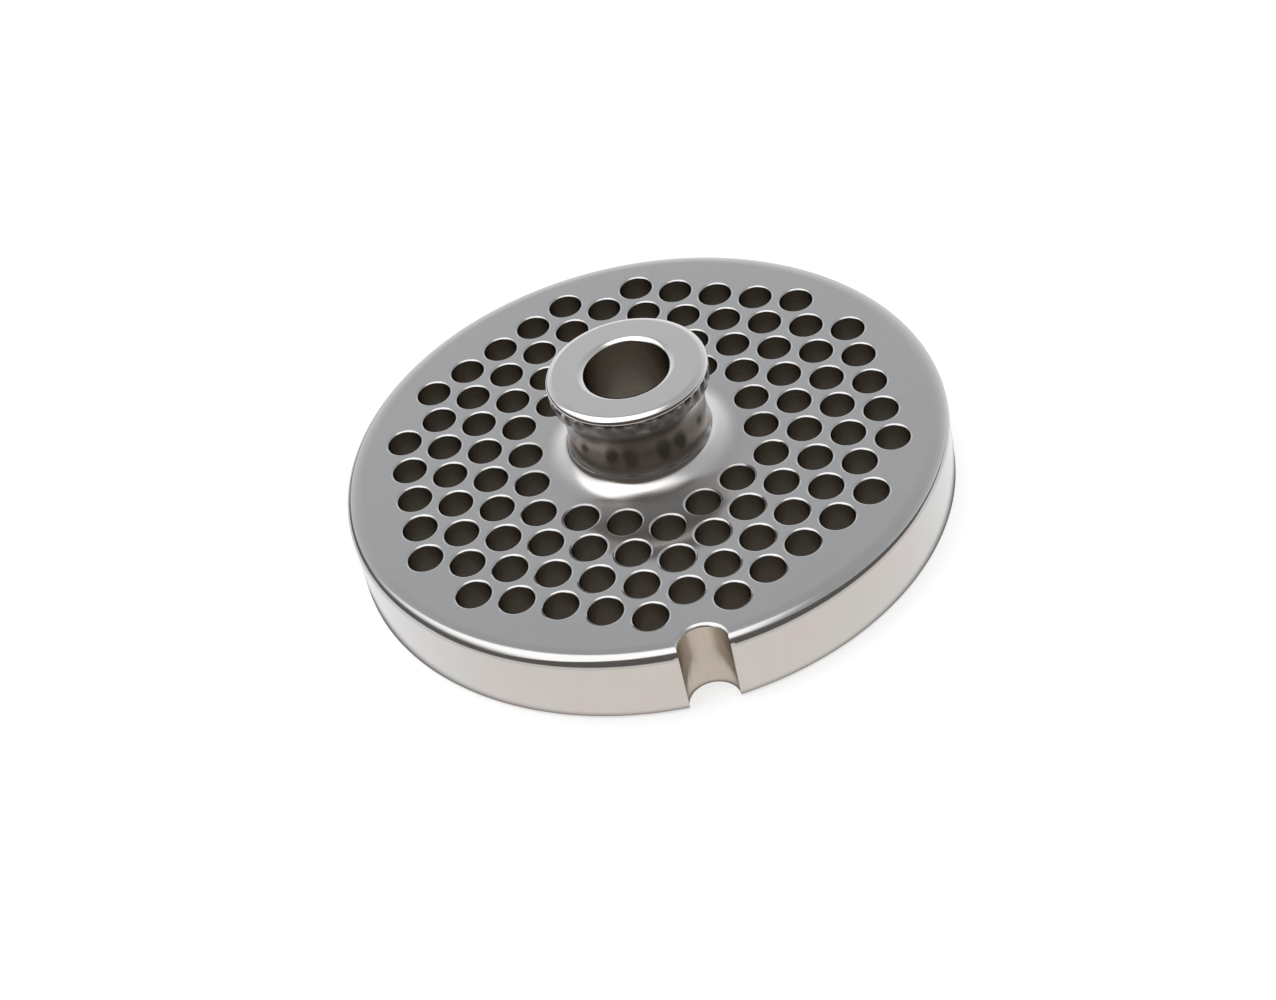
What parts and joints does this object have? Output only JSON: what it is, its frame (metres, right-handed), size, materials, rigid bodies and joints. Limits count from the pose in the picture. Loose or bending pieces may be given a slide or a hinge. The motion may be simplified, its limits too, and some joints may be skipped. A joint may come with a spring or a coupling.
{
  "type": "meat grinder plate",
  "caption": "Round stainless steel mincing plate with a hexagonal field of drilled holes, a waisted bored hub and a locating notch in its rim.",
  "frame": {"origin": "centre of the bore at the plate's flat underside", "axes": "+Z along the bore axis out of the hub; -Y through the middle of the locating notch"},
  "size_m": [0.0824, 0.0824, 0.023],
  "materials": {
    "stainless_steel": "ground and polished"
  },
  "bodies": {
    "root": {"grinder_plate": "stainless_steel"}
  },
  "joints": []
}
